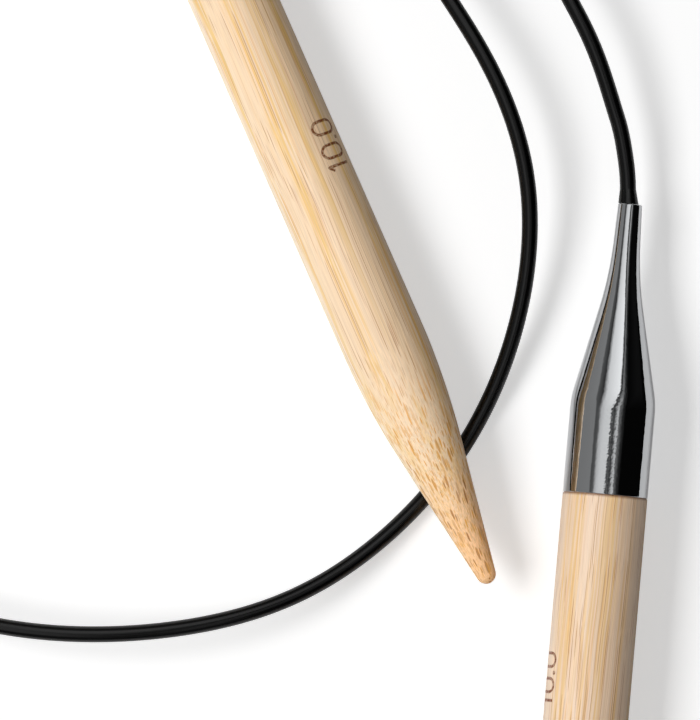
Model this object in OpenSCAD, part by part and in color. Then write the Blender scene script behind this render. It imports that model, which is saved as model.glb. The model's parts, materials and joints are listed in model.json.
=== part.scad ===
// Fixed circular knitting needle: two turned bamboo tips in plated brass ferrules, joined
// by one black nylon cable that turns freely in both ferrules on captive barbed pins.
// It lies on a table, +Z up, with the origin on the table under the middle of the two tips.
// Every piece of a tip is drawn in the tip's own frame and then laid in its place: Z is the
// axis, Z = 0 is the ferrule's mouth, the point is at the far end and the cable leaves at -Z.

/* [Bamboo] */
// Diameter of the bamboo shaft, which is the size of the needle
shaft_d = 10; // [9:0.5:12]
// Length of bamboo that shows, from the ferrule to the point
shaft_length = 98.6; // [80:0.2:130]
// Length over which the shaft narrows to its point
taper_length = 31; // [26:1:40]
// Radius of the rounded point
point_r = 1.2; // [0.8:0.1:1.6]
// Reach of the soft shoulder along either side of the taper's corner
taper_reach = 6.7; // [3:0.1:9]

/* [Ferrule] */
// Length of the ferrule, from its mouth to the bamboo
ferrule_length = 34.4; // [31:0.1:40]
// Outside diameter of the mouth
mouth_d = 2.8; // [2.6:0.1:3.4]
// Length of the slim neck behind the mouth
neck_length = 8.6; // [7:0.2:10]
// Outside diameter where the neck turns into the cone
neck_end_d = 3.5; // [3.4:0.1:4.2]
// Reach of the hollow blend along either side of the neck's corner
neck_reach = 4; // [2:0.5:5]
// Length of the straight band beside the bamboo
band_length = 11.2; // [10.4:0.2:13]
// Reach of the rounding along either side of the band's corner
band_reach = 1.2; // [0.6:0.1:2]
// Rounding of the edges at the mouth and at the bamboo
edge_reach = 0.15; // [0.05:0.05:0.25]
// Depth of the socket that the bamboo is glued into
socket_depth = 10; // [8:0.5:10.5]
// Wall of the ferrule around that socket
socket_wall = 0.9; // [0.6:0.1:1.2]

/* [Swivel] */
// Diameter of the swivel pin's stem
pin_d = 1.3; // [1.1:0.05:1.5]
// Diameter of the pin's head
head_d = 3; // [2.6:0.1:3.2]
// Thickness of the pin's head
head_thickness = 1.2; // [0.8:0.1:2]
// Depth of the shoulder that holds the head, from the ferrule's mouth
seat_depth = 11; // [10.5:0.5:13]
// Number of barbs on the end of the pin
barb_count = 2; // [2:1:4]
// Length of one barb
barb_pitch = 0.5; // [0.5:0.1:0.8]
// Height of a barb over the stem
barb_height = 0.15; // [0.1:0.05:0.2]

/* [Cable] */
// Diameter of the cable
cable_d = 1.9; // [1.7:0.1:2.2]
// Diameter of its flared ends
flare_d = 2.4; // [2.3:0.1:2.6]
// Length over which an end flares
flare_length = 1.8; // [1.6:0.1:3]

/* [Fits] */
// Gap round the pin's stem in the neck
stem_gap = 0.05; // [0.03:0.01:0.09]
// Gap round the pin's head in its chamber
head_gap = 0.1; // [0.05:0.05:0.2]
// End play of the swivel, at the head and at the mouth
end_play = 0.05; // [0.03:0.01:0.1]
// Gap round the stem in the cable, which the barbs bite across
bore_gap = 0.05; // [0.02:0.01:0.08]
// Glue line round the bamboo's tenon
glue_gap = 0.05; // [0.02:0.01:0.1]
// Glue space under the end of the tenon
glue_space = 0.5; // [0.2:0.1:1]
// Air between the cable and the taper that lies over it
pass_gap = 0.25; // [0.1:0.05:0.5]

/* [Hidden] */
$fn = 64;

// Where the ferrules' mouths lie over the table, and where the tips head from there
LEFT_MOUTH = [-35.6, 104.6];
LEFT_HEADING = -66.3;
RIGHT_MOUTH = [34.4, 27.4];
RIGHT_HEADING = -95;
// Distance from the left mouth to where the cable passes under the taper
PASS_Z = 119.5;

// The cable's route from the right ferrule round to the left one, as guide points of a
// smooth spline: x, y, and how far the cable stands off the table, in its own diameters.
// The springy cable arches off the table, and the left taper holds it down where they cross
ROUTE = [
    [34.5, 32.5, 2.2], [32.5, 38.5, 2.6], [30, 47, 3.1], [24.5, 56, 3], [19.5, 68.5, 2.3],
    [11, 82, 1.2], [-3, 94, 0.1], [-19.5, 101, 0], [-37, 102, 0], [-54, 96.5, 0],
    [-68, 86, 0], [-77, 71.5, 0], [-82, 55, 0], [-83, 37.5, 0], [-80.5, 20.5, 0.2], [-75, 4.5, 0.8],
    [-65.5, -9.5, 1.8], [-52.5, -19.5, 2.8], [-34, -24, 3.1], [-13.5, -22.5, 2.6], [1, -16.5, 1.1],
    [14.5, -3.5, -0.6], [22, 13, 1.4], [23.5, 31, 3.1], [17, 46.5, 3.1], [7.5, 59, 2.7],
    [1.5, 76, 2.1], [-0.5, 94, 1.6], [-1.5, 112, 0.9], [-7.5, 129, 0.2], [-22, 136, 0],
    [-35, 130.5, 0.8], [-40, 120.5, 1.7], [-38.7, 111.5, 2.1]
];
// How far the spline's second guide point stands off the cable's straight end
ROUTE_LEAD = 1;
// The swept tube is an octagon of the same area as the round cable, a ring every 7 mm at most
TUBE_SIDES = 8;
TUBE_RINGS = 80;
TUBE_R = cable_d / 2 * sqrt(2 * PI / (TUBE_SIDES * sin(360 / TUBE_SIDES)));
// Solid cable between the pin's bore and the swept tube, and the tube's overlap with it
BORE_END = 0.45;
TUBE_OVERLAP = 0.3;
// Segments in each rounded corner of a turned profile
CORNER_STEPS = 10;
// Half the angle of the drill that bored the socket
DRILL_ANGLE = 59;
// Chamfer on the tenon's end, the pin's ends and the mouth's bore
CHAMFER = 0.15;

shaft_r = shaft_d / 2;
point_z = ferrule_length + shaft_length;
taper_corner_z = point_z - taper_length + taper_reach;
taper_angle = atan2(shaft_r, point_z - point_r - taper_corner_z)
    - asin(point_r / norm([shaft_r, point_z - point_r - taper_corner_z]));
band_z = ferrule_length - band_length;
socket_r = shaft_r - socket_wall;
socket_z = ferrule_length - socket_depth;
chamber_r = head_d / 2 + head_gap;
pin_r = pin_d / 2;
barb_r = pin_r + barb_height;
barbs_z = -end_play - CHAMFER;
pin_end_z = barbs_z - barb_count * barb_pitch;
cable_bore_r = pin_r + bore_gap;
cable_bore_z = pin_end_z - CHAMFER;
straight_length = max(flare_length, BORE_END - cable_bore_z);

// The left tip rests on its band and rises a little, so that its taper clears the cable
rest_z = band_z + band_reach;
cone_r_at_pass = (point_z - point_r - PASS_Z) * tan(taper_angle) + point_r / cos(taper_angle);
pass_lift = max(0, cable_d + pass_gap + min(cone_r_at_pass, shaft_r) - shaft_r);
left_rise = asin(pass_lift / (PASS_Z - rest_z));
right_rise = 0;

function unit(v) = v / norm(v);

// A path whose inner points are rounded: each is swapped for an arc that starts and ends
// at its reach from the corner, and a point with no reach stays sharp
function rounded_path(points, reaches) = [
    for (i = [0 : len(points) - 1])
        if (reaches[i] == 0)
            points[i]
        else
            each corner_arc(points[i - 1], points[i], points[i + 1], reaches[i])
];

function corner_arc(before, corner, after, reach) =
    let (
        back = unit(before - corner),
        ahead = unit(after - corner),
        inner = acos(back * ahead),
        middle = corner + unit(back + ahead) * reach / cos(inner / 2),
        start = corner + back * reach - middle,
        end = corner + ahead * reach - middle,
        turn = 180 - inner
    )
    [
        for (i = [0 : CORNER_STEPS])
            let (a = turn * i / CORNER_STEPS)
            middle + (start * sin(turn - a) + end * sin(a)) / sin(turn)
    ];

// Lays a tip down: its mouth over the given place, its point towards the heading, rising
module lay_tip(mouth, heading, rise) {
    translate([mouth.x, mouth.y, shaft_r - rest_z * sin(rise)])
        rotate([0, 90 - rise, heading])
            children();
}

module left_tip() {
    lay_tip(LEFT_MOUTH, LEFT_HEADING, left_rise) children();
}

module right_tip() {
    lay_tip(RIGHT_MOUTH, RIGHT_HEADING, right_rise) children();
}

// Turned bamboo: glued tenon, plain shaft, soft shoulder, straight taper and round point
module bamboo_shaft() {
    tenon_r = socket_r - glue_gap;
    tenon_z = socket_z + glue_space;
    side = rounded_path(
        [
            [tenon_r, ferrule_length], [shaft_r, ferrule_length], [shaft_r, taper_corner_z],
            [0, taper_corner_z + shaft_r / tan(taper_angle)]
        ],
        [0, 0, taper_reach, 0]
    );
    point = [
        for (i = [0 : CORNER_STEPS])
            let (a = taper_angle + (90 - taper_angle) * i / CORNER_STEPS)
            [point_r * cos(a), point_z - point_r + point_r * sin(a)]
    ];
    profile = concat(
        [[0, tenon_z], [tenon_r - CHAMFER, tenon_z], [tenon_r, tenon_z + CHAMFER]],
        [for (i = [0 : len(side) - 2]) side[i]],
        point
    );
    color("burlywood") rotate_extrude() polygon(profile);
}

// Turned ferrule: slim neck, hollow blend, cone, rounded shoulder and straight band outside;
// neck bore, head chamber and drilled socket inside
module ferrule() {
    outside = rounded_path(
        [
            [0, 0], [mouth_d / 2, 0], [neck_end_d / 2, neck_length], [shaft_r, band_z],
            [shaft_r, ferrule_length], [0, ferrule_length]
        ],
        [0, edge_reach, neck_reach, band_reach, edge_reach, 0]
    );
    inside = [
        [0, -1], [pin_r + stem_gap + CHAMFER, -1], [pin_r + stem_gap + CHAMFER, 0],
        [pin_r + stem_gap, CHAMFER], [pin_r + stem_gap, seat_depth], [chamber_r, seat_depth],
        [chamber_r, socket_z - (socket_r - chamber_r) / tan(DRILL_ANGLE)],
        [socket_r, socket_z], [socket_r, ferrule_length + 1], [0, ferrule_length + 1]
    ];
    color("silver") rotate_extrude() difference() {
        polygon(outside);
        polygon(inside);
    }
}

// Swivel pin: its head sits behind the neck, and its barbs hold the end of the cable
module swivel_pin() {
    head_z = seat_depth + end_play;
    barbs = [
        for (i = [0 : barb_count - 1])
            each [
                [pin_r, barbs_z - i * barb_pitch],
                [barb_r, barbs_z - i * barb_pitch]
            ]
    ];
    profile = concat(
        [
            [0, head_z + head_thickness], [head_d / 2 - CHAMFER, head_z + head_thickness],
            [head_d / 2, head_z + head_thickness - CHAMFER], [head_d / 2, head_z],
            [pin_r, head_z]
        ],
        barbs,
        [[pin_r, pin_end_z + CHAMFER], [pin_r - CHAMFER, pin_end_z], [0, pin_end_z]]
    );
    color("gainsboro") rotate_extrude() polygon(profile);
}

// Straight end of the cable, flared over the pin's barbs and bored for its stem
module cable_end() {
    rotate_extrude() polygon([
        [cable_bore_r, -end_play], [flare_d / 2, -end_play], [cable_d / 2, -flare_length],
        [cable_d / 2, -straight_length - TUBE_OVERLAP], [0, -straight_length - TUBE_OVERLAP],
        [0, cable_bore_z], [cable_bore_r, cable_bore_z]
    ]);
}

// A point on a tip's axis, a given distance out from the ferrule's mouth
function off_mouth(mouth, heading, rise, distance) = [
    mouth.x - distance * cos(rise) * cos(heading),
    mouth.y - distance * cos(rise) * sin(heading),
    shaft_r - (rest_z + distance) * sin(rise)
];

// Guide points of the spline, with one phantom point at each end so that it starts and
// stops on the tips' axes
guides = let (
    right = [for (d = [-ROUTE_LEAD, 0, ROUTE_LEAD])
        off_mouth(RIGHT_MOUTH, RIGHT_HEADING, right_rise, straight_length + d)],
    left = [for (d = [ROUTE_LEAD, 0, -ROUTE_LEAD])
        off_mouth(LEFT_MOUTH, LEFT_HEADING, left_rise, straight_length + d)]
) concat(right, [for (p = ROUTE) [p.x, p.y, cable_d * (p.z + 0.5)]], left);
spans = len(guides) - 3;

// Uniform cubic B-spline through the guide points, and its direction, at 0 to spans
function weights(f) = [
    pow(1 - f, 3), 3 * pow(f, 3) - 6 * f * f + 4, -3 * pow(f, 3) + 3 * f * f + 3 * f + 1,
    pow(f, 3)
] / 6;
function slopes(f) = [-pow(1 - f, 2), 3 * f * f - 4 * f, -3 * f * f + 2 * f + 1, f * f] / 2;
function span_guides(i) = [guides[i], guides[i + 1], guides[i + 2], guides[i + 3]];
function span_of(t) = min(floor(t), spans - 1);
function route_point(t) = weights(t - span_of(t)) * span_guides(span_of(t));
function route_direction(t) = unit(slopes(t - span_of(t)) * span_guides(span_of(t)));

function tube_ring(t) =
    let (
        ahead = route_direction(t),
        across = unit(cross([0, 0, 1], ahead)),
        up = cross(ahead, across)
    )
    [
        for (j = [0 : TUBE_SIDES - 1])
            let (a = 360 * (j + 0.5) / TUBE_SIDES)
            route_point(t) + TUBE_R * (across * cos(a) + up * sin(a))
    ];

// The cable between its two straight ends
module cable_tube() {
    rings = [for (i = [0 : TUBE_RINGS - 1]) tube_ring(spans * i / (TUBE_RINGS - 1))];
    walls = [
        for (i = [0 : TUBE_RINGS - 2], j = [0 : TUBE_SIDES - 1])
            let (
                a = i * TUBE_SIDES + j,
                b = i * TUBE_SIDES + (j + 1) % TUBE_SIDES
            )
            each [[a, a + TUBE_SIDES, b + TUBE_SIDES], [a, b + TUBE_SIDES, b]]
    ];
    first = [for (j = [0 : TUBE_SIDES - 1]) j];
    last = [for (j = [1 : TUBE_SIDES]) TUBE_RINGS * TUBE_SIDES - j];
    polyhedron([for (ring = rings) each ring], concat([first], walls, [last]));
}

module cable() {
    color([0.08, 0.08, 0.08]) union() {
        cable_tube();
        left_tip() cable_end();
        right_tip() cable_end();
    }
}

module left_bamboo_shaft() {
    left_tip() bamboo_shaft();
}

module right_bamboo_shaft() {
    right_tip() bamboo_shaft();
}

module left_ferrule() {
    left_tip() ferrule();
}

module right_ferrule() {
    right_tip() ferrule();
}

module left_swivel_pin() {
    left_tip() swivel_pin();
}

module right_swivel_pin() {
    right_tip() swivel_pin();
}

cable();
left_bamboo_shaft();
right_bamboo_shaft();
left_ferrule();
right_ferrule();
left_swivel_pin();
right_swivel_pin();
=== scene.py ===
"""Dresses a circular knitting needle: bamboo tips, chrome ferrules and a black nylon cable.

Lengths are in metres in the frame that the CAD model uses: +Z up, the table at Z = 0.
"""

import json
import math

import bpy
from mathutils import Euler, Matrix, Vector, noise


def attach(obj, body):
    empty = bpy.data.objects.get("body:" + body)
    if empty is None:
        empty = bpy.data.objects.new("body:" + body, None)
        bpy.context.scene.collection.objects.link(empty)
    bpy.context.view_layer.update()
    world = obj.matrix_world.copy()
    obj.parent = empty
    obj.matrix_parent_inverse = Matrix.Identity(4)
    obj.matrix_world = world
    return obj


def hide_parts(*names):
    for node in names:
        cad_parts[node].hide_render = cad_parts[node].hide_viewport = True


bl_info = {
    "name": "Circular knitting needle",
    "version": (1, 0, 0),
    "blender": (4, 5, 0),
    "location": "3D View > Sidebar > Knitting",
    "description": "Builds the looks of a bamboo circular knitting needle on its CAD model",
    "category": "Object",
}

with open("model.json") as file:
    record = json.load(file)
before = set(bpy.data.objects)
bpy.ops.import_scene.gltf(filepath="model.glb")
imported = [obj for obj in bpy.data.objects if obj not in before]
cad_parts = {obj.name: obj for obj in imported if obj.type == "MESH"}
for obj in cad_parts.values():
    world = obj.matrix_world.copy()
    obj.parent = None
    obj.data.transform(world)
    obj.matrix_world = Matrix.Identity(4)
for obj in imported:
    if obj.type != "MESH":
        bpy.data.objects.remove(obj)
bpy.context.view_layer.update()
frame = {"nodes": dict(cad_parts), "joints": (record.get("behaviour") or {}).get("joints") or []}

MM = 0.001
SIDES = ("left", "right")
# The setting of a map range node that eases in and out of its ends
SOFTLY = {"interpolation_type": "SMOOTHSTEP"}
JOINTS = {side: next(j for j in frame["joints"] if j["name"] == f"{side}_swivel")
          for side in SIDES}


def linear(hex_colour):
    """The linear red, green and blue of an sRGB hex colour."""
    parts = [int(hex_colour[i:i + 2], 16) / 255 for i in (1, 3, 5)]
    return tuple(c / 12.92 if c <= 0.04045 else ((c + 0.055) / 1.055) ** 2.4 for c in parts)


def length_property(name, description, millimetres, least=0.0):
    """A length that the sidebar shows in the scene's units."""
    return bpy.props.FloatProperty(name=name, description=description, unit="LENGTH",
                                   subtype="DISTANCE", precision=5,
                                   default=millimetres * MM, min=least * MM)


def colour_property(name, description, hex_colour):
    """A colour whose default is an sRGB hex value."""
    return bpy.props.FloatVectorProperty(name=name, description=description, subtype="COLOR",
                                         size=3, min=0.0, max=1.0, default=linear(hex_colour))


class TipSizes(bpy.types.PropertyGroup):
    """Sizes of a tip: its bamboo shaft and the ferrule that holds it"""

    shaft_radius: length_property("Shaft radius", "Half the size of the needle", 5.0)
    point_z: length_property("Tip length", "From the ferrule's mouth to the point", 133.0)
    taper: length_property("Taper", "Length over which the shaft narrows to its point", 31.0)
    taper_reach: length_property("Shoulder", "Reach of the soft shoulder of the taper", 6.7)
    point_radius: length_property("Point radius", "Radius of the rounded point", 1.2)
    ferrule: length_property("Ferrule length", "From its mouth to the bamboo", 34.4)
    mouth_radius: length_property("Mouth radius", "Outside radius of the mouth", 1.4)
    neck: length_property("Neck length", "Length of the slim neck", 8.6)
    neck_radius: length_property("Neck radius", "Outside radius at the neck's end", 1.75)
    neck_reach: length_property("Neck blend", "Reach of the hollow blend of the neck", 4.0)
    band: length_property("Band length", "Straight band beside the bamboo", 11.2)
    band_reach: length_property("Band blend", "Reach of the rounding of the band", 1.2)
    edge: length_property("Edge rounding", "Rounding of the ferrule's edges", 0.15)
    socket_depth: length_property("Socket depth", "Depth of the bamboo's socket", 10.0)
    socket_radius: length_property("Socket radius", "Bore of the bamboo's socket", 4.1)
    chamber_radius: length_property("Chamber radius", "Bore behind the neck", 1.6)
    seat_depth: length_property("Seat depth", "From the mouth to the chamber", 11.0)
    stem_bore: length_property("Stem bore", "Radius of the bore in the neck", 0.7)
    tenon_radius: length_property("Tenon radius", "Radius of the bamboo's tenon", 4.05)
    tenon_gap: length_property("Glue space", "Glue space under the tenon", 0.5)
    seam: length_property("Seam", "Bevel of the bamboo's shoulder at the ferrule", 0.12)


class CableSizes(bpy.types.PropertyGroup):
    """Sizes of the cable and its flared ends"""

    diameter: length_property("Diameter", "Diameter of the cable", 1.9)
    flare_diameter: length_property("Flare diameter", "Diameter at the ferrules", 2.4)
    flare: length_property("Flare length", "Length over which an end flares", 1.8)
    bore_radius: length_property("Bore radius", "Bore for the swivel pin's barbs", 0.7)
    bore_depth: length_property("Bore depth", "Depth of that bore", 1.3)
    end_play: length_property("End play", "Gap between the cable and the mouth", 0.05)
    sway: length_property("Sway", "How far the cable springs aside at the right ferrule", 0.52)
    sway_middle: length_property("Sway middle", "Where along the cable it sways most", 3.5)
    sway_reach: length_property("Sway reach", "How far from there the sway reaches", 6.3)


class Finishes(bpy.types.PropertyGroup):
    """Colours of the finishes"""

    bamboo: colour_property("Bamboo", "Pith between the fibre bundles", "#F3D5B2")
    pale: colour_property("Pale bamboo", "Pith of the paler right shaft", "#EBCFB4")
    straw: colour_property("Straw", "Yellow bands in the pith", "#E9BD6B")
    bundle: colour_property("Fibre bundle", "Ochre fibre bundles", "#E5A23A")
    vein: colour_property("Vein", "Brown sheaths of the bundles", "#AE6A22")
    sanded: colour_property("Sanded pith", "Pith that the taper lays bare", "#FFE1BC")
    point: colour_property("Point", "Pith near the point, soaked with wax", "#FAC792")
    burnt: colour_property("Burnt mark", "Scorched size mark", "#74360B")
    chrome: colour_property("Chrome", "Polished chrome plate", "#D2D4D6")
    nylon: colour_property("Nylon", "Black nylon of the cable", "#060606")
    steel: colour_property("Steel", "Turned stainless steel of the pins", "#B4B2AE")


class Studio(bpy.types.PropertyGroup):
    """Light and camera of the studio"""

    focal_length: bpy.props.FloatProperty(
        name="Focal length", description="Focal length of the camera's lens",
        unit="CAMERA", default=400.0, min=1.0)
    picture_height: length_property("Picture height", "Height of the picture at the axes", 84.706)
    aim_left: length_property("Aim left", "From the right mouth left to the picture's middle",
                              32.99)
    aim_down: length_property("Aim down", "From the right mouth down to the picture's middle",
                              18.34)
    camera_elevation: bpy.props.FloatProperty(
        name="Camera elevation", description="Height of the camera over the table's horizon",
        subtype="ANGLE", unit="ROTATION", default=math.radians(88))
    key_angle: bpy.props.FloatProperty(
        name="Key angle", description="How far the key light leans to the left",
        subtype="ANGLE", unit="ROTATION", default=math.radians(39.5))
    key_power: bpy.props.FloatProperty(
        name="Key power", description="Power of the key light", unit="POWER", default=4.2)
    top_angle: bpy.props.FloatProperty(
        name="Top angle", description="How far the light overhead leans to the left",
        subtype="ANGLE", unit="ROTATION", default=math.radians(11))
    top_power: bpy.props.FloatProperty(
        name="Top power", description="Power of the light overhead", unit="POWER", default=5.6)
    left_bounce: bpy.props.FloatProperty(
        name="Left bounce", description="Brightness of the table that lights the left shaft",
        default=1.15)
    right_bounce: bpy.props.FloatProperty(
        name="Right bounce", description="Brightness of the table that lights the right shaft",
        default=0.55)
    room: bpy.props.FloatProperty(
        name="Room light", description="Brightness of the room round the table", default=0.1)
    table_glow: bpy.props.FloatProperty(
        name="Table glow", description="How much brighter the exposure leaves the white table",
        default=0.53)
    mirrored_glow: bpy.props.FloatProperty(
        name="Mirrored glow", description="Share of the table's glow that reflections show",
        default=0.4)


def area_light(name, width, length, power):
    """A soft rectangular light that the camera doesn't see."""
    data = bpy.data.lights.new(name, "AREA")
    data.shape = "RECTANGLE"
    data.size, data.size_y, data.energy = width, length, power
    light = bpy.data.objects.new(name, data)
    light.visible_camera = False
    bpy.context.scene.collection.objects.link(light)
    return light


def link_to_lights(piece, lights, state):
    """Lists a piece with each named light, as one that it skips or one that it is kept for."""
    for name in lights:
        linking = bpy.data.objects[name].light_linking
        if not linking.receiver_collection:
            linking.receiver_collection = bpy.data.collections.new(f"{name} list")
        linking.receiver_collection.objects.link(piece)
        linking.receiver_collection.collection_objects[-1].light_linking.link_state = state


def shield(piece, *lights):
    """Keeps the named lights off a piece, as a flag between them does in a studio."""
    link_to_lights(piece, lights, "EXCLUDE")


def reserve(piece, *lights):
    """Keeps the named lights for this piece and any others they are kept for."""
    link_to_lights(piece, lights, "INCLUDE")


def tip_matrix(side):
    """The tip's own frame: Z along its axis from the ferrule's mouth, -X up from the table."""
    axis = Vector(JOINTS[side]["axis"])
    heading = math.atan2(axis.y, axis.x)
    rise = math.asin(axis.z)
    turn = Euler((0, math.pi / 2 - rise, heading)).to_matrix().to_4x4()
    return Matrix.Translation(JOINTS[side]["pos_m"]) @ turn


def corner_arc(before, corner, after, reach, steps=24):
    """Points of the arc that rounds a corner, from its reach before to its reach after."""
    back = (before - corner).normalized()
    ahead = (after - corner).normalized()
    inner = back.angle(ahead)
    turn = math.pi - inner
    middle = corner + (back + ahead).normalized() * reach / math.cos(inner / 2)
    start = corner + back * reach - middle
    end = corner + ahead * reach - middle
    return [middle + (start * math.sin(turn - a) + end * math.sin(a)) / math.sin(turn)
            for a in (turn * i / steps for i in range(steps + 1))]


def rounded_path(corners):
    """A path of (radius, z, reach) corners, each rounded over its reach."""
    points = [Vector((r, z)) for r, z, reach in corners]
    path = []
    for i, (r, z, reach) in enumerate(corners):
        if reach:
            path += corner_arc(points[i - 1], points[i], points[i + 1], reach)
        else:
            path.append(points[i])
    return path


def divided(path, step):
    """The path with its long stretches cut into steps."""
    out = [path[0]]
    for a, b in zip(path, path[1:]):
        pieces = max(1, math.ceil((b - a).length / step))
        out += [a.lerp(b, i / pieces) for i in range(1, pieces + 1)]
    return out


def turned(name, profile, matrix, around=128, closed=False, shape=None):
    """A turned piece: the (radius, z) profile spun round the axis of the tip's own frame. A
    closed profile joins its ends, and a shape gives the radius at each (radius, z, angle)."""
    spots, rings, faces = [], [], []
    for point in profile:
        if point.x < 1e-9:
            rings.append([len(spots)])
            spots.append(Vector((0, 0, point.y)))
            continue
        rings.append(list(range(len(spots), len(spots) + around)))
        for k in range(around):
            a = math.tau * k / around
            r = shape(point.x, point.y, a) if shape else point.x
            spots.append(Vector((r * math.cos(a), r * math.sin(a), point.y)))
    pairs = list(zip(rings, rings[1:]))
    if closed:
        pairs.append((rings[-1], rings[0]))
    for low, high in pairs:
        for k in range(around):
            n = (k + 1) % around
            face = [low[k % len(low)], low[n % len(low)], high[n % len(high)],
                    high[k % len(high)]]
            face = list(dict.fromkeys(face))
            if len(face) > 2:
                faces.append(face)
    return tip_piece(name, spots, faces, matrix)


def mesh_piece(name, verts, faces, sharp=40):
    """A smooth-shaded mesh object with its creases kept sharp."""
    mesh = bpy.data.meshes.new(name)
    mesh.from_pydata([tuple(v) for v in verts], [], faces)
    mesh.validate()
    mesh.shade_smooth()
    mesh.set_sharp_from_angle(angle=math.radians(sharp))
    piece = bpy.data.objects.new(name, mesh)
    bpy.context.scene.collection.objects.link(piece)
    return piece


def flat_sheet(name, left, right, half, height):
    """A level rectangle from left to right that reaches half its length to each side."""
    corners = ((left, -half), (right, -half), (right, half), (left, half))
    return mesh_piece(name, [(x, y, height) for x, y in corners], [(0, 1, 2, 3)])


def point_values(piece, name, kind, values):
    """Keeps a value at each point of the mesh, for its material to read."""
    spread = [part for value in values for part in value] if kind == "FLOAT_VECTOR" else values
    data = piece.data.attributes.new(name, kind, "POINT").data
    data.foreach_set("vector" if kind == "FLOAT_VECTOR" else "value", spread)


def tip_piece(name, spots, faces, matrix):
    """A piece drawn in the tip's own frame, whose spots the material finds as "in tip"."""
    piece = mesh_piece(name, [matrix @ spot for spot in spots], faces)
    point_values(piece, "in tip", "FLOAT_VECTOR", spots)
    return piece


def add_node(tree, kind, sockets=None, **settings):
    """Adds a node. Its settings are attributes, and its sockets take a value, an output, or
    another node for that node's first output."""
    node = tree.nodes.new(kind)
    for name, value in settings.items():
        setattr(node, name, value)
    for name, value in (sockets or {}).items():
        source = value.outputs[0] if isinstance(value, bpy.types.Node) else value
        if isinstance(source, bpy.types.NodeSocket):
            tree.links.new(source, node.inputs[name])
        else:
            node.inputs[name].default_value = value
    return node


def new_material(name):
    """An empty material and its node tree."""
    material = bpy.data.materials.new(name)
    material.use_nodes = True
    material.node_tree.nodes.clear()
    return material, material.node_tree


def rgba(colour):
    """A colour with full alpha."""
    return (*colour, 1.0)


def unevenness(tree, place, across, along, detail, roughness=0.6):
    """Noise whose lumps measure so many millimetres across a piece and along it."""
    width, length = across * MM, along * MM
    scaled = add_node(tree, "ShaderNodeMapping", {
        "Vector": place, "Scale": (1 / width, 1 / width, 1 / length)})
    return add_node(tree, "ShaderNodeTexNoise", {
        "Vector": scaled, "Scale": 1.0, "Detail": detail, "Roughness": roughness})


def fibre_bundles(tree, grain, apart, thin, thick):
    """Bundles along the grain, so many millimetres apart, whose radii go from a thin to a
    thick share of that. Returns where their cores are, and three chance values of each."""
    scaled = add_node(tree, "ShaderNodeMapping", {
        "Vector": grain, "Scale": [1 / (apart * MM)] * 3})
    cells = add_node(tree, "ShaderNodeTexVoronoi", {
        "Vector": scaled, "Scale": 1.0, "Randomness": 1.0}, voronoi_dimensions="2D")
    traits = add_node(tree, "ShaderNodeSeparateColor", {0: cells.outputs["Color"]}).outputs
    radius = add_node(tree, "ShaderNodeMapRange", {
        "Value": traits["Blue"], "To Min": thin, "To Max": thick}, **SOFTLY)
    off_middle = add_node(tree, "ShaderNodeMath", {
        0: cells.outputs["Distance"], 1: radius}, operation="DIVIDE")
    core = add_node(tree, "ShaderNodeMapRange", {
        "Value": off_middle, "From Min": 1.1, "From Max": 0.7}, **SOFTLY)
    return core, traits


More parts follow.
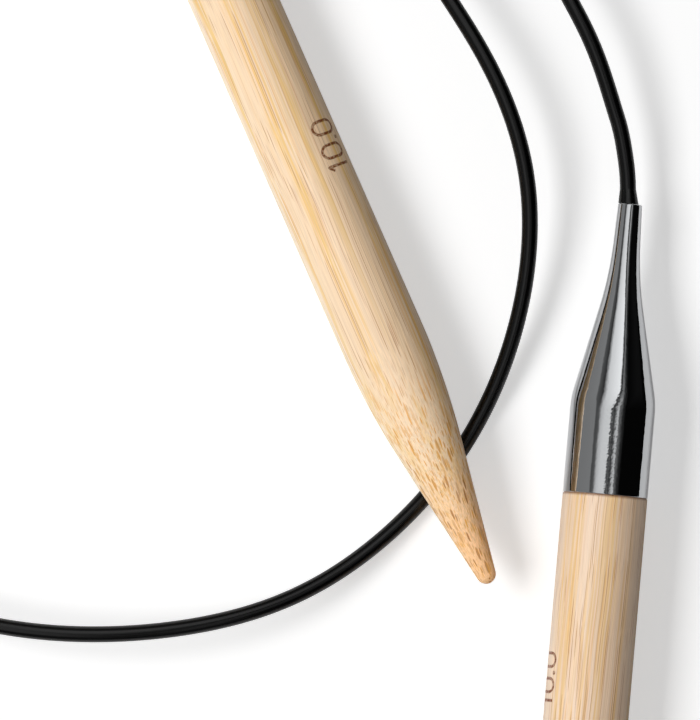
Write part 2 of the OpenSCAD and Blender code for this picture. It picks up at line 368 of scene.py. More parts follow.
def sanded_bamboo(side, burnt=False):
    """Bamboo, turned and sanded, then waxed. Fibre bundles run through the pith along the
    shaft: they show as long straw streaks on its side, and as short ochre dashes with brown
    sheaths where the taper cuts across them."""
    paint = bpy.context.scene.needle_finishes
    sizes = bpy.context.scene.needle_tip
    material, tree = new_material(f"{'scorched' if burnt else 'sanded'} bamboo {side}")
    # The right shaft has its own pith colour, paler than the left one's, and less straw
    pith, yellow, offset = {"left": (paint.bamboo, 1.0, (15 * MM, 0, 3)),
                            "right": (paint.pale, 0.6, (55 * MM, 24 * MM, 11))}[side]
    place = add_node(tree, "ShaderNodeAttribute", attribute_name="in tip").outputs["Vector"]
    # The grain runs out of the shaft by about a degree and wanders a little on its way
    tilted = add_node(tree, "ShaderNodeMapping", {
        "Vector": place, "Location": offset,
        "Rotation": (math.radians(-1.1), math.radians(0.5), 0)})
    drift = add_node(tree, "ShaderNodeTexNoise", {
        "Vector": tilted, "Scale": 1 / (14 * MM), "Detail": 1.0})
    grain = add_node(tree, "ShaderNodeVectorMath", {
        0: drift.outputs["Color"], 1: (0.5 * MM, 0.5 * MM, 0), 2: tilted},
        operation="MULTIPLY_ADD")
    fibres = unevenness(tree, grain, across=0.08, along=12, detail=3.0)
    thick_core, thick = fibre_bundles(tree, grain, apart=0.37, thin=0.20, thick=0.46)
    thin_core, thin = fibre_bundles(tree, grain, apart=0.18, thin=0.20, thick=0.40)

    taper_z = sizes.point_z - sizes.taper
    along = add_node(tree, "ShaderNodeSeparateXYZ", {"Vector": place}).outputs["Z"]
    on_taper, near_point, waxed, seam = (
        add_node(tree, "ShaderNodeMapRange", {
            "Value": along, "From Min": start, "From Max": end}, **SOFTLY)
        for start, end in (
            (taper_z, taper_z + 12 * MM),
            (taper_z + 4 * MM, sizes.point_z - 6 * MM),
            (taper_z + 14 * MM, sizes.point_z - 3 * MM),
            (sizes.ferrule + 0.4 * MM, sizes.ferrule + 0.05 * MM)))

    # The straw bands lie close together in some parts and leave others plain
    crowd = add_node(tree, "ShaderNodeMapRange", {
        "Value": unevenness(tree, grain, across=2.4, along=90, detail=0.0),
        "From Min": 0.38, "From Max": 0.60, "To Min": 0.12 * yellow, "To Max": yellow},
        **SOFTLY)
    bands = add_node(tree, "ShaderNodeMapRange", {
        "Value": unevenness(tree, grain, across=0.4, along=60, detail=2.0),
        "From Min": 0.38, "From Max": 0.62}, **SOFTLY)
    # Thick bundles are ochre, and toward the point some show their brown sheaths
    brownest = add_node(tree, "ShaderNodeMapRange", {
        "Value": near_point, "To Max": 1.1}, **SOFTLY)
    brown = add_node(tree, "ShaderNodeMapRange", {
        "Value": thick["Red"], "To Max": brownest}, **SOFTLY)
    thick_colour = add_node(tree, "ShaderNodeMix", {
        0: brown, 6: rgba(paint.bundle), 7: rgba(paint.vein)}, data_type="RGBA").outputs[2]
    thick_depth = add_node(tree, "ShaderNodeMapRange", {
        "Value": thick["Green"], "To Min": 0.3}, **SOFTLY)
    # They show clearly where the taper cuts them, and elsewhere only among the straw bands
    among_bands = add_node(tree, "ShaderNodeMath", {0: crowd, 1: 0.5}, operation="MULTIPLY")
    thick_shown = add_node(tree, "ShaderNodeMapRange", {
        "Value": on_taper, "To Min": among_bands, "To Max": 0.9}, **SOFTLY)
    # Thin bundles are brown lines on the side and ochre dots on the taper
    thin_colour = add_node(tree, "ShaderNodeMix", {
        0: on_taper, 6: rgba(paint.vein), 7: rgba(paint.bundle)}, data_type="RGBA").outputs[2]
    thin_depth = add_node(tree, "ShaderNodeMapRange", {
        "Value": thin["Green"], "From Min": 0.5, "From Max": 0.9, "To Min": 0.15}, **SOFTLY)
    thin_shown = add_node(tree, "ShaderNodeMapRange", {
        "Value": near_point, "To Min": 0.6, "To Max": 0.8}, **SOFTLY)

    # Each layer covers the ones before it by the product of its shares
    layers = (
        ((bands, crowd, 0.95), rgba(paint.straw)),
        # The taper's pith is paler than the side's, and the wax soaks into its point
        ((on_taper, 0.45), rgba(paint.sanded)),
        ((waxed,), rgba(paint.point)),
        ((thick_core, thick_depth, thick_shown), thick_colour),
        ((thin_core, thin_depth, thin_shown), thin_colour),
        # Painted shade darkens the bamboo at the seam, where the gap at the ferrule lies in
        # shadow
        ((seam, 0.6), rgba(paint.burnt)),
    )
    colour = rgba(pith)
    for (cover, *shares), layer in layers:
        for share in shares:
            cover = add_node(tree, "ShaderNodeMath", {0: cover, 1: share},
                             operation="MULTIPLY")
        colour = add_node(tree, "ShaderNodeMix", {0: cover, 6: colour, 7: layer},
                          data_type="RGBA").outputs[2]
    # Single fibres are lighter or darker, most of all near the point
    darkest, lightest = (
        add_node(tree, "ShaderNodeMapRange", {
            "Value": near_point, "To Min": on_side, "To Max": at_point}, **SOFTLY)
        for on_side, at_point in ((0.87, 0.80), (1.04, 1.10)))
    shade = add_node(tree, "ShaderNodeMapRange", {
        "Value": fibres, "From Min": 0.3, "From Max": 0.7,
        "To Min": darkest, "To Max": lightest}, **SOFTLY)
    colour = add_node(tree, "ShaderNodeVectorMath", {0: colour, 1: shade},
                      operation="MULTIPLY")
    if burnt:
        # The mark is scorched in its middle, in spots, and fades into the wood at its edges
        scorch = add_node(tree, "ShaderNodeAttribute", attribute_name="scorch").outputs["Fac"]
        spots = add_node(tree, "ShaderNodeMapRange", {
            "Value": unevenness(tree, grain, across=0.3, along=0.3, detail=1.0),
            "From Min": 0.35, "From Max": 0.6, "To Min": 0.6}, **SOFTLY)
        cover = add_node(tree, "ShaderNodeMath", {0: scorch, 1: spots}, operation="MULTIPLY")
        colour = add_node(tree, "ShaderNodeMix", {
            0: cover, 6: colour, 7: rgba(paint.burnt)}, data_type="RGBA").outputs[2]

    # The bundles' open vessels leave grooves among the fibres
    relief = add_node(tree, "ShaderNodeMath", {0: thick_core, 1: -0.8, 2: fibres},
                      operation="MULTIPLY_ADD")
    bump = add_node(tree, "ShaderNodeBump", {
        "Height": relief, "Strength": 0.5, "Distance": 0.02 * MM})
    # Wax gives a soft sheen, duller on coarse fibres, and char has lost it
    rough = add_node(tree, "ShaderNodeMapRange", {
        "Value": fibres, "From Min": 0.3, "From Max": 0.7, "To Min": 0.44, "To Max": 0.56},
        **SOFTLY)
    shader = add_node(tree, "ShaderNodeBsdfPrincipled", {
        "Base Color": colour, "Normal": bump, "Roughness": rough, "IOR": 1.5,
        "Specular IOR Level": 0.15 if burnt else 0.5})
    add_node(tree, "ShaderNodeOutputMaterial", {"Surface": shader})
    return material


def chrome_plate():
    """Chrome-plated brass, turned and buffed: a near mirror whose buffing waves make the
    reflected studio waver a little."""
    paint = bpy.context.scene.needle_finishes
    sizes = bpy.context.scene.needle_tip
    material, tree = new_material("chrome plated brass")
    place = add_node(tree, "ShaderNodeAttribute", attribute_name="in tip").outputs["Vector"]

    # The plate's orange peel is buffed away, apart from one line along the top of the band
    buffed = 0.2
    band_z = sizes.ferrule - sizes.band
    where = add_node(tree, "ShaderNodeSeparateXYZ", {"Vector": place})
    aside = add_node(tree, "ShaderNodeMath", {0: where.outputs["Y"]}, operation="ABSOLUTE")
    on_band = add_node(tree, "ShaderNodeMapRange", {
        "Value": where.outputs["Z"], "From Min": band_z - 4.2 * MM,
        "From Max": band_z - 0.2 * MM, "To Min": buffed})
    peel = add_node(tree, "ShaderNodeMapRange", {
        "Value": aside, "From Min": 0.5 * MM, "From Max": 1.2 * MM,
        "To Min": on_band, "To Max": buffed})
    # Long waves bend the reflected stripes, and the peel frays their edges
    waves = unevenness(tree, place, across=1.2, along=2.5, detail=2.0)
    pits = unevenness(tree, place, across=0.4, along=0.3, detail=1.0)
    relief = add_node(tree, "ShaderNodeMath", {0: pits, 1: peel, 2: waves},
                      operation="MULTIPLY_ADD")
    bump = add_node(tree, "ShaderNodeBump", {
        "Height": relief, "Strength": 1.0, "Distance": 0.012 * MM})
    # Buffing scratches are finer than a micrometre, so they are drawn 0.05 mm apart
    rough = add_node(tree, "ShaderNodeMapRange", {
        "Value": unevenness(tree, place, across=0.6, along=0.05, detail=2.0),
        "From Min": 0.3, "From Max": 0.7, "To Min": 0.01, "To Max": 0.04})
    shader = add_node(tree, "ShaderNodeBsdfPrincipled", {
        "Base Color": rgba(paint.chrome), "Metallic": 1.0, "Roughness": rough,
        "Normal": bump})
    add_node(tree, "ShaderNodeOutputMaterial", {"Surface": shader})
    return material


def turned_steel():
    """Stainless steel, turned and left unpolished: a soft grey shine, broken by fine grit."""
    paint = bpy.context.scene.needle_finishes
    material, tree = new_material("turned stainless steel")
    place = add_node(tree, "ShaderNodeTexCoord").outputs["Object"]
    grit = add_node(tree, "ShaderNodeTexNoise", {
        "Vector": place, "Scale": 1 / (0.08 * MM), "Detail": 2.0})
    rough = add_node(tree, "ShaderNodeMapRange", {
        "Value": grit, "To Min": 0.22, "To Max": 0.38})
    shader = add_node(tree, "ShaderNodeBsdfPrincipled", {
        "Base Color": rgba(paint.steel), "Metallic": 1.0, "Roughness": rough})
    add_node(tree, "ShaderNodeOutputMaterial", {"Surface": shader})
    return material


def extruded_nylon():
    """Black nylon, extruded: a satin gloss with faint die lines along the cable."""
    paint = bpy.context.scene.needle_finishes
    material, tree = new_material("extruded black nylon")
    place = add_node(tree, "ShaderNodeAttribute", attribute_name="in cable").outputs["Vector"]
    die_lines = unevenness(tree, place, across=0.12, along=30, detail=2.0, roughness=0.5)
    rough = add_node(tree, "ShaderNodeMapRange", {
        "Value": die_lines, "From Min": 0.3, "From Max": 0.7, "To Min": 0.20,
        "To Max": 0.34})
    bump = add_node(tree, "ShaderNodeBump", {
        "Height": die_lines, "Strength": 0.3, "Distance": 0.01 * MM})
    # Handling leaves the nylon a little duller than its IOR alone would make it
    shader = add_node(tree, "ShaderNodeBsdfPrincipled", {
        "Base Color": rgba(paint.nylon), "IOR": 1.53, "Specular IOR Level": 0.4,
        "Roughness": rough, "Normal": bump})
    add_node(tree, "ShaderNodeOutputMaterial", {"Surface": shader})
    return material


# The cable's route from the right ferrule round to the left one, as guide points of a smooth
# spline, in millimetres: x, y, and how far it stands off the table in its own diameters. The
# springy cable arches off the table, and the left taper holds it down where they cross
ROUTE = [
    (34.5, 32.5, 2.2), (32.5, 38.5, 2.6), (30, 47, 3.1), (24.5, 56, 3), (19.5, 68.5, 2.3),
    (11, 82, 1.2), (-3, 94, 0.1), (-19.5, 101, 0), (-37, 102, 0), (-54, 96.5, 0),
    (-68, 86, 0), (-77, 71.5, 0), (-82, 55, 0), (-83, 37.5, 0), (-80.5, 20.5, 0.2),
    (-75, 4.5, 0.8), (-65.5, -9.5, 1.8), (-52.5, -19.5, 2.8), (-34, -24, 3.1),
    (-13.5, -22.5, 2.6), (1, -16.5, 1.1), (14.5, -3.5, -0.6), (22, 13, 1.4), (23.5, 31, 3.1),
    (17, 46.5, 3.1), (7.5, 59, 2.7), (1.5, 76, 2.1), (-0.5, 94, 1.6), (-1.5, 112, 0.9),
    (-7.5, 129, 0.2), (-22, 136, 0), (-35, 130.5, 0.8), (-40, 120.5, 1.7),
    (-38.7, 111.5, 2.1),
]
# How far the guide points beside the end of a flare lie from it, which keeps it straight there
ROUTE_LEAD = 1 * MM
# How far apart the points of the cable's line lie, and how many stretches a flare has
CABLE_STEP = 0.5 * MM
FLARE_STEPS = 12


def off_mouth(side, distance):
    """A point on a tip's axis, so far out from the ferrule's mouth along the cable."""
    joint = JOINTS[side]
    return Vector(joint["pos_m"]) - Vector(joint["axis"]) * distance


def spline_point(a, b, c, d, f):
    """A point of the smooth spline between guide points b and c, at a share f of the way."""
    return (a * (1 - f) ** 3 + b * (3 * f ** 3 - 6 * f * f + 4)
            + c * (-3 * f ** 3 + 3 * f * f + 3 * f + 1) + d * f ** 3) / 6


def cable_line():
    """Points along the middle of the cable, from the right ferrule's mouth to the left one's."""
    sizes = bpy.context.scene.needle_cable
    leads = (-ROUTE_LEAD, 0, ROUTE_LEAD)
    guides = [off_mouth("right", sizes.flare + d) for d in leads]
    guides += [Vector((x * MM, y * MM, sizes.diameter * (lift + 0.5))) for x, y, lift in ROUTE]
    guides += [off_mouth("left", sizes.flare + d) for d in reversed(leads)]
    # The flares are straight: how far each of their points lies off the mouth
    flare = [sizes.end_play + (sizes.flare - sizes.end_play) * i / FLARE_STEPS
             for i in range(FLARE_STEPS + 1)]
    line = [off_mouth("right", d) for d in flare[:-1]]
    for a, b, c, d in zip(guides, guides[1:], guides[2:], guides[3:]):
        steps = max(8, round((c - b).length / CABLE_STEP))
        line += [spline_point(a, b, c, d, i / steps) for i in range(steps)]
    line += [off_mouth("left", d) for d in reversed(flare)]
    # The cable springs aside where it leaves the right ferrule
    out = -Vector(JOINTS["right"]["axis"])
    aside = Vector((0, 0, 1)).cross(out)
    start = line[0].copy()
    for i, point in enumerate(line[:len(line) // 2]):
        off = ((point - start).dot(out) - sizes.sway_middle) / sizes.sway_reach
        if off > 1:
            break
        line[i] = point + aside * sizes.sway * math.cos(off * math.pi / 2) ** 2
    return line


# The studio as the chrome reflects it: stripes of an arch over the tips. Each has its angle
# from overhead (left is negative) and its brightness, over the tips and at its far end
ARCH = [
    ((-95, 0.22), (-95, 0.22)), ((-48, 0.25), (-50, 0.27)), ((-45, 0.10), (-46, 0.11)),
    ((-38, 0.14), (-31, 0.04)), ((-33, 0.55), (-28, 0.25)), ((-25, 0.75), (-19, 0.85)),
    ((-7, 0.80), (19, 1.20)), ((-5, 0.04), (22, 0.30)), ((0, 0.15), (24, 0.04)),
    ((3, 0.03), (26, 0.04)), ((7, 0.12), (28, 0.22)), ((10, 0.55), (31, 0.20)),
    ((16, 0.68), (33, 0.04)), ((18, 0.20), (36, 0.01)), ((27, 0.03), (40, 0.002)),
    ((34, 0.002), (45, 0.002)), ((100, 0.002), (100, 0.01)),
]
ARCH_RADIUS = 0.7
# How far beyond the tips the stripes reach their slant
ARCH_FAR = 0.33
# How far right of the right mouth the black flag starts, and how high over the table it lies
FLAG_EDGE = 34 * MM
FLAG_HEIGHT = 0.5 * MM
# The part of the over-exposed table that lights a shaft's left rim from below
BOUNCE_WIDTH = 70 * MM
BOUNCE_LENGTH = 150 * MM
# How far it lies beside the tip's axis and below it, and where its middle is along the tip
BOUNCE_GAP = 7 * MM
BOUNCE_DROP = 4.3 * MM
BOUNCE_MIDDLE = 85 * MM
# It is bluish, so that the rim of the yellow bamboo comes out almost white
BOUNCE_COLOUR = (0.5, 0.75, 1.0)
WHITE = (1.0, 1.0, 1.0)
# Half the side of the table, and how much of the light it gives back
TABLE_HALF = 4.0
TABLE_ALBEDO = 0.85


class KNITTING_OT_stage(bpy.types.Operator):
    """Sets up the camera, the white table, the lights and what the chrome reflects"""

    bl_idname = "knitting.stage"
    bl_label = "Camera, table and lights"

    def execute(self, context):
        studio = context.scene.needle_studio
        self.make_camera(context, studio)
        self.make_table(studio)
        self.make_lights(studio)
        self.make_arch()
        self.make_room(context, studio)
        context.scene.view_settings.view_transform = "Standard"
        return {"FINISHED"}

    def make_camera(self, context, studio):
        """A long lens over the right ferrule, looking down almost straight."""
        mouth = Vector(JOINTS["right"]["pos_m"])
        sizes = context.scene.needle_tip
        target = Vector((mouth.x - studio.aim_left, mouth.y - studio.aim_down,
                         sizes.shaft_radius))
        data = bpy.data.cameras.new("camera")
        data.lens = studio.focal_length
        distance = studio.picture_height * data.lens / data.sensor_width
        away = Vector((0, -math.cos(studio.camera_elevation),
                       math.sin(studio.camera_elevation)))
        camera = bpy.data.objects.new("camera", data)
        camera.location = target + away * distance
        camera.rotation_euler = (math.pi / 2 - studio.camera_elevation, 0, 0)
        data.clip_start, data.clip_end = 0.05, 20.0
        context.scene.collection.objects.link(camera)
        context.scene.camera = camera

    def make_table(self, studio):
        """A plain white table, exposed so that it is all but pure white."""
        table = flat_sheet("table", -TABLE_HALF, TABLE_HALF, TABLE_HALF, 0.0)
        material, tree = new_material("white acrylic")
        lit = add_node(tree, "ShaderNodeBsdfDiffuse", {"Color": rgba([TABLE_ALBEDO] * 3)})
        # The glow lights nothing: it shows to the camera, and in part in reflections
        rays = add_node(tree, "ShaderNodeLightPath")
        share = add_node(tree, "ShaderNodeMath", {
            0: rays.outputs["Is Glossy Ray"], 1: studio.mirrored_glow,
            2: rays.outputs["Is Camera Ray"]}, operation="MULTIPLY_ADD")
        strength = add_node(tree, "ShaderNodeMath", {0: share, 1: studio.table_glow},
                            operation="MULTIPLY")
        glow = add_node(tree, "ShaderNodeEmission", {
            "Color": rgba(WHITE), "Strength": strength})
        both = add_node(tree, "ShaderNodeAddShader", {0: lit, 1: glow})
        add_node(tree, "ShaderNodeOutputMaterial", {"Surface": both})
        table.data.materials.append(material)

    def make_lights(self, studio):
        """A key softbox on the left, a large soft light overhead and the table's bounce."""
        for name, lean, distance, width, length, power in (
                ("key", studio.key_angle, 0.8, 0.28, 0.55, studio.key_power),
                ("top", studio.top_angle, 1.1, 0.6, 0.8, studio.top_power)):
            light = area_light(name, width, length, power)
            light.location = distance * Vector((-math.sin(lean), 0, math.cos(lean)))
            light.rotation_euler = (0, -lean, 0)
        shield(bpy.data.objects["table"], "top")
        self.make_bounce("left", studio.left_bounce)
        self.make_bounce("right", studio.right_bounce)

    def make_bounce(self, side, brightness):
        """The over-exposed table left of a shaft, whose light only the bamboo takes."""
        power = brightness * math.pi * BOUNCE_WIDTH * BOUNCE_LENGTH
        light = area_light(f"{side} bounce", BOUNCE_WIDTH, BOUNCE_LENGTH, power)
        light.data.color = BOUNCE_COLOUR
        place = Matrix.Translation((BOUNCE_DROP, -BOUNCE_GAP - BOUNCE_WIDTH / 2,
                                    BOUNCE_MIDDLE))
        # Its own X lies across the tip, its Y along the tip and its Z down
        facing_up = Matrix(((0, 0, 1, 0), (1, 0, 0, 0), (0, 1, 0, 0), (0, 0, 0, 1)))
        light.matrix_world = tip_matrix(side) @ place @ facing_up

    def make_arch(self):
        """The arch over the tips and a black flag on the right, seen in reflections only."""
        middle = JOINTS["right"]["pos_m"][0]
        verts, shine, faces = [], [], []
        # Where along the tips a stripe is laid, and by which of its two ends
        columns = ((-ARCH_RADIUS, 0), (0, 0), (ARCH_FAR, 1), (ARCH_RADIUS, 1))
        for stripe in ARCH:
            for y, end in columns:
                angle, brightness = stripe[end]
                a = math.radians(angle)
                verts.append((middle + ARCH_RADIUS * math.sin(a), y, ARCH_RADIUS * math.cos(a)))
                shine.append(brightness)
        count = len(columns)
        for i in range(len(ARCH) - 1):
            for k in range(count - 1):
                a = i * count + k
                faces.append((a, a + 1, a + count + 1, a + count))
        arch = mesh_piece("arch", verts, faces)
        point_values(arch, "shine", "FLOAT", shine)
        far = middle + ARCH_RADIUS
        flag = flat_sheet("flag", middle + FLAG_EDGE, far, far, FLAG_HEIGHT)
        darkest = ARCH[-1][0][1]
        point_values(flag, "shine", "FLOAT", [darkest] * len(flag.data.vertices))
        material, tree = new_material("reflected studio")
        bright = add_node(tree, "ShaderNodeAttribute", attribute_name="shine").outputs["Fac"]
        glow = add_node(tree, "ShaderNodeEmission", {"Color": rgba(WHITE), "Strength": bright})
        add_node(tree, "ShaderNodeOutputMaterial", {"Surface": glow})
        for card in (arch, flag):
            card.data.materials.append(material)
            card.visible_camera = False
            card.visible_diffuse = False
            card.visible_shadow = False
            card.visible_transmission = False

    def make_room(self, context, studio):
        """A pale room: white behind the table for the camera, dimmer as a light."""
        world = bpy.data.worlds.new("room")
        world.use_nodes = True
        tree = world.node_tree
        tree.nodes.clear()
        seen = add_node(tree, "ShaderNodeBackground", {"Color": rgba(WHITE), "Strength": 1.0})
        lit = add_node(tree, "ShaderNodeBackground", {
            "Color": rgba(WHITE), "Strength": studio.room})
        rays = add_node(tree, "ShaderNodeLightPath")
        either = add_node(tree, "ShaderNodeMixShader", {
            0: rays.outputs["Is Camera Ray"], 1: lit, 2: seen})
        add_node(tree, "ShaderNodeOutputWorld", {"Surface": either})
        context.scene.world = world


class KNITTING_OT_cable(bpy.types.Operator):
    """Makes the nylon cable with its two flared and bored ends"""

    bl_idname = "knitting.cable"
    bl_label = "Nylon cable"

    def execute(self, context):
        sizes = context.scene.needle_cable
        line = cable_line()
        runs = [0.0]
        for a, b in zip(line, line[1:]):
            runs.append(runs[-1] + (b - a).length)
        total = runs[-1]

        def radius(run):
            """The cable's radius at a distance from its right end."""
            off_end = min(run, total - run) + sizes.end_play
            flared = max(0.0, 1 - off_end / sizes.flare)
            return (sizes.diameter + (sizes.flare_diameter - sizes.diameter) * flared) / 2

        # The ends are cut square to the tips, so that a cable that leans stays off the mouths
        first, last = -Vector(JOINTS["right"]["axis"]), Vector(JOINTS["left"]["axis"])
        sections = [(line[0] + first * sizes.bore_depth, first, sizes.bore_radius, 0.0),
                    (line[0], first, sizes.bore_radius, 0.0)]
        for i, middle in enumerate(line):
            ahead = (line[min(i + 1, len(line) - 1)] - line[max(i - 1, 0)]).normalized()
            ahead = first.lerp(ahead, min(1.0, runs[i] / sizes.flare))
            ahead = last.lerp(ahead, min(1.0, (total - runs[i]) / sizes.flare)).normalized()
            sections.append((middle, ahead, radius(runs[i]), runs[i]))
        sections += [(line[-1], last, sizes.bore_radius, total),
                     (line[-1] - last * sizes.bore_depth, last, sizes.bore_radius, total)]

        around = 24
        verts, where = [], []
        for middle, ahead, r, run in sections:
            across = Vector((0, 0, 1)).cross(ahead).normalized()
            up = ahead.cross(across)
            for k in range(around):
                a = math.tau * k / around
                verts.append(middle + (across * math.cos(a) + up * math.sin(a)) * r)
                where.append((math.cos(a) * r, math.sin(a) * r, run))
        rings = range(0, len(verts), around)
        faces = [(a + k, a + (k + 1) % around, b + (k + 1) % around, b + k)
                 for a, b in zip(rings, rings[1:]) for k in range(around)]
        faces.append([rings[0] + k for k in reversed(range(around))])
        faces.append([rings[-1] + k for k in range(around)])
        piece = mesh_piece("nylon_cable", verts, faces)
        point_values(piece, "in cable", "FLOAT_VECTOR", where)
        piece.data.materials.append(extruded_nylon())
        shield(piece, "key", "top")
        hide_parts("cable")
        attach(piece, "cable")
        return {"FINISHED"}


# How deep the uneven sanding of a taper goes, the length of its dips, the length over which
# it sets in, and how quickly it changes round the shaft
SANDING_DEPTH = 0.05 * MM
SANDING_LENGTH = 7 * MM
SANDING_FADE = 4 * MM
SANDING_ROUND = 1.2


def sanded_radius(r, z, angle, seed):
    """The radius of a shaft once sanding by hand has made its taper slightly uneven."""
    sizes = bpy.context.scene.needle_tip
    into_taper = z - sizes.point_z + sizes.taper
    if into_taper < 0:
        return r
    spot = Vector((math.cos(angle) * SANDING_ROUND, math.sin(angle) * SANDING_ROUND,
                   z / SANDING_LENGTH + seed))
    share = 0.5 + 0.5 * noise.noise(spot)
    return r - SANDING_DEPTH * share * min(1.0, into_taper / SANDING_FADE)


class KNITTING_OT_bamboo_shafts(bpy.types.Operator):
    """Turns the two bamboo shafts, each with its tenon, soft shoulder, taper and point"""

    bl_idname = "knitting.bamboo_shafts"
    bl_label = "Bamboo shafts"

    def execute(self, context):
        sizes = context.scene.needle_tip
        corner_z = sizes.point_z - sizes.taper + sizes.taper_reach
        ball_z = sizes.point_z - sizes.point_radius
        slant = math.hypot(sizes.shaft_radius, ball_z - corner_z)
        taper_angle = (math.atan2(sizes.shaft_radius, ball_z - corner_z)
                       - math.asin(sizes.point_radius / slant))
        tenon_z = sizes.ferrule - sizes.socket_depth + sizes.tenon_gap
        flank = rounded_path([
            (sizes.tenon_radius, sizes.ferrule, 0),
            (sizes.shaft_radius - sizes.seam, sizes.ferrule, 0),
            (sizes.shaft_radius, sizes.ferrule + sizes.seam, 0),
            (sizes.shaft_radius, corner_z, sizes.taper_reach),
            (0, corner_z + sizes.shaft_radius / math.tan(taper_angle), 0)])[:-1]
        steps = 16
        ball = []
        for i in range(steps + 1):
            a = taper_angle + (math.pi / 2 - taper_angle) * i / steps
            ball.append(Vector((max(0.0, sizes.point_radius * math.cos(a)),
                                ball_z + sizes.point_radius * math.sin(a))))
        ball[-1].x = 0.0
        profile = [Vector((0, tenon_z)), Vector((sizes.tenon_radius, tenon_z))]
        profile = divided(profile + flank + ball, step=0.6 * MM)
        for side, seed in (("left", 3.0), ("right", 11.0)):
            piece = turned(f"{side}_bamboo", profile, tip_matrix(side),
                           shape=lambda r, z, angle: sanded_radius(r, z, angle, seed))
            piece.data.materials.append(sanded_bamboo(side))
            reserve(piece, f"{side} bounce")
            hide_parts(f"{side}_bamboo_shaft")
            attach(piece, f"{side}_tip")
        return {"FINISHED"}


class KNITTING_OT_ferrules(bpy.types.Operator):
    """Turns the two chrome-plated ferrules with their bores"""

    bl_idname = "knitting.ferrules"
    bl_label = "Ferrules"

    def execute(self, context):
        sizes = context.scene.needle_tip
        band_z = sizes.ferrule - sizes.band
        socket_z = sizes.ferrule - sizes.socket_depth
        # A drill's point has 118 degrees
        drill = (sizes.socket_radius - sizes.chamber_radius) / math.tan(math.radians(118 / 2))
        outside = rounded_path([
            (sizes.stem_bore, 0, 0), (sizes.mouth_radius, 0, sizes.edge),
            (sizes.neck_radius, sizes.neck, sizes.neck_reach),
            (sizes.shaft_radius, band_z, sizes.band_reach),
            (sizes.shaft_radius, sizes.ferrule, sizes.edge),
            (sizes.socket_radius, sizes.ferrule, 0)])
        inside = [Vector(p) for p in (
            (sizes.socket_radius, socket_z), (sizes.chamber_radius, socket_z - drill),
            (sizes.chamber_radius, sizes.seat_depth), (sizes.stem_bore, sizes.seat_depth))]
        profile = divided(outside, step=0.5 * MM) + inside
        plate = chrome_plate()
        for side in SIDES:
            piece = turned(f"{side}_chrome_ferrule", profile, tip_matrix(side), closed=True)
            piece.data.materials.append(plate)
            shield(piece, "key", "top")
            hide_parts(f"{side}_ferrule")
            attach(piece, f"{side}_tip")
        return {"FINISHED"}


class KNITTING_OT_swivel_pins(bpy.types.Operator):
    """Gives the two swivel pins of the CAD model their turned steel"""

    bl_idname = "knitting.swivel_pins"
    bl_label = "Swivel pins"

    def execute(self, context):
        steel = turned_steel()
        for side in SIDES:
            pin = frame["nodes"][f"{side}_swivel_pin"]
            pin.data.materials.clear()
            pin.data.materials.append(steel)
        return {"FINISHED"}


def glyph_strokes(glyph):
    """The strokes of one glyph of the size mark, in shares of the glyph's height, and its
    width. A stroke is a list of points: x runs along the mark and y up the glyph."""
    def arc(cx, cy, rx, ry, start, end, steps=10):
        """Points of a stretch of an ellipse, between two angles in degrees."""
        return [(cx + rx * math.cos(math.radians(start + (end - start) * i / steps)),
                 cy + ry * math.sin(math.radians(start + (end - start) * i / steps)))
                for i in range(steps + 1)]

    if glyph == "1":
        return [[(0.0, 0.8), (0.17, 1.0), (0.17, 0.0)]], 0.3
    if glyph == "0":
        top = arc(0.24, 0.72, 0.24, 0.28, 0, 180)
        low = arc(0.24, 0.28, 0.24, 0.28, 180, 360)
        return [top + low + top[:1]], 0.48
    return [arc(0.04, 0.04, 0.03, 0.03, 0, 360, 6)], 0.08


# Where the size number starts along each tip, and how far round from the top its foot lies
MARK_PLACES = {"left": (81.5 * MM, math.radians(64)), "right": (59.5 * MM, math.radians(-57))}
MARK_HEIGHT = 3.3 * MM
STROKE_WIDTH = 0.42 * MM
# The gap between two glyphs, as a share of their height
GLYPH_GAP = 0.17
# How far the number stands off the bamboo
MARK_LIFT = 0.004 * MM


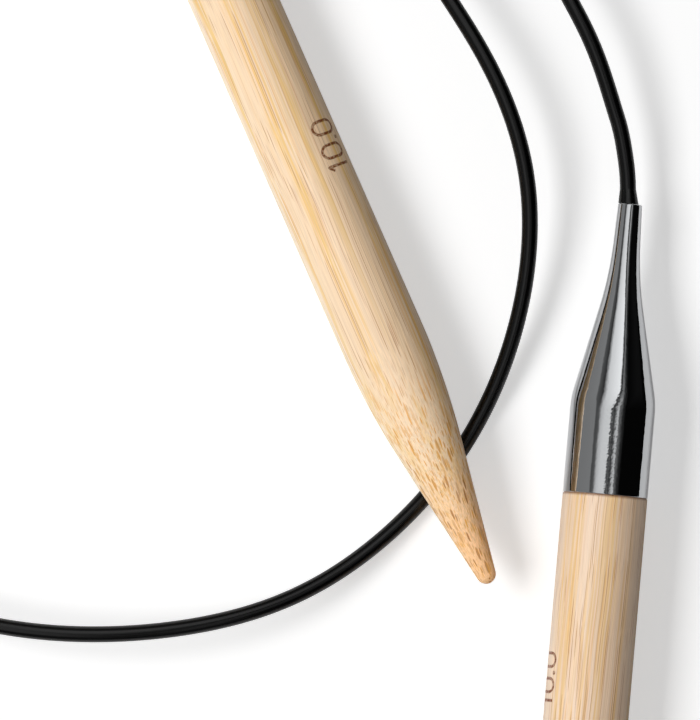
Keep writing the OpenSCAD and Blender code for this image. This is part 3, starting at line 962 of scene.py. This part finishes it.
class KNITTING_OT_size_marks(bpy.types.Operator):
    """Burns the plain size number into both shafts, as thin strokes wrapped on the bamboo"""

    bl_idname = "knitting.size_marks"
    bl_label = "Size marks"

    def execute(self, context):
        sizes = context.scene.needle_tip
        number = f"{2 * sizes.shaft_radius / MM:.1f}"
        for side in SIDES:
            piece = self.mark(number, side, sizes.shaft_radius + MARK_LIFT)
            piece.data.materials.append(sanded_bamboo(side, burnt=True))
            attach(piece, f"{side}_tip")
        return {"FINISHED"}

    def mark(self, number, side, radius):
        """The number's strokes. It reads from the point to the ferrule."""
        start_z, low_edge = MARK_PLACES[side]
        spots, faces, scorch = [], [], []
        # Shares of the half width across a stroke, and how scorched it is there
        section = ((-1, 0.0), (-0.7, 0.9), (0, 1.0), (0.7, 0.9), (1, 0.0))
        count = len(section)
        run = 0.0
        for glyph in number:
            strokes, glyph_width = glyph_strokes(glyph)
            for stroke in strokes:
                points = divided([Vector(((run + x) * MARK_HEIGHT, y * MARK_HEIGHT))
                                  for x, y in stroke], step=0.15 * MM)
                start = len(spots)
                for i, p in enumerate(points):
                    ahead = points[min(i + 1, len(points) - 1)] - points[max(i - 1, 0)]
                    across = Vector((-ahead.y, ahead.x)).normalized() * STROKE_WIDTH / 2
                    for share, burn in section:
                        q = p + across * share
                        a = low_edge - q.y / radius
                        spots.append(Vector((-radius * math.cos(a), radius * math.sin(a),
                                             start_z - q.x)))
                        scorch.append(burn)
                for i in range(len(points) - 1):
                    for k in range(count - 1):
                        a = start + count * i + k
                        faces.append((a, a + count, a + count + 1, a + 1))
            run += glyph_width + GLYPH_GAP
        piece = tip_piece(f"{side}_size_mark", spots, faces, tip_matrix(side))
        reserve(piece, f"{side} bounce")
        point_values(piece, "scorch", "FLOAT", scorch)
        return piece


class KNITTING_PT_panel(bpy.types.Panel):
    """Lists what builds the needle"""

    bl_idname = "KNITTING_PT_panel"
    bl_label = "Circular knitting needle"
    bl_space_type = "VIEW_3D"
    bl_region_type = "UI"
    bl_category = "Knitting"

    def draw(self, context):
        for operator in OPERATORS:
            self.layout.operator(operator.bl_idname)
        for group, name in PROPERTY_GROUPS:
            box = self.layout.box()
            box.label(text=group.bl_rna.name)
            for key in group.__annotations__:
                box.prop(getattr(context.scene, name), key)


PROPERTY_GROUPS = (
    (TipSizes, "needle_tip"), (CableSizes, "needle_cable"), (Finishes, "needle_finishes"),
    (Studio, "needle_studio"),
)
OPERATORS = (
    KNITTING_OT_stage, KNITTING_OT_cable, KNITTING_OT_bamboo_shafts, KNITTING_OT_ferrules,
    KNITTING_OT_swivel_pins, KNITTING_OT_size_marks,
)


def register():
    """Registers the classes and hangs the properties on the scene."""
    for group, name in PROPERTY_GROUPS:
        bpy.utils.register_class(group)
        setattr(bpy.types.Scene, name, bpy.props.PointerProperty(type=group))
    for operator in OPERATORS:
        bpy.utils.register_class(operator)
    bpy.utils.register_class(KNITTING_PT_panel)


def unregister():
    """Takes the properties and the classes away again."""
    bpy.utils.unregister_class(KNITTING_PT_panel)
    for operator in reversed(OPERATORS):
        bpy.utils.unregister_class(operator)
    for group, name in reversed(PROPERTY_GROUPS):
        delattr(bpy.types.Scene, name)
        bpy.utils.unregister_class(group)


def main():
    """Builds the needle."""
    register()
    bpy.ops.knitting.stage()
    bpy.ops.knitting.cable()
    bpy.ops.knitting.bamboo_shafts()
    bpy.ops.knitting.ferrules()
    bpy.ops.knitting.swivel_pins()
    bpy.ops.knitting.size_marks()


if __name__ == "__main__":
    main()
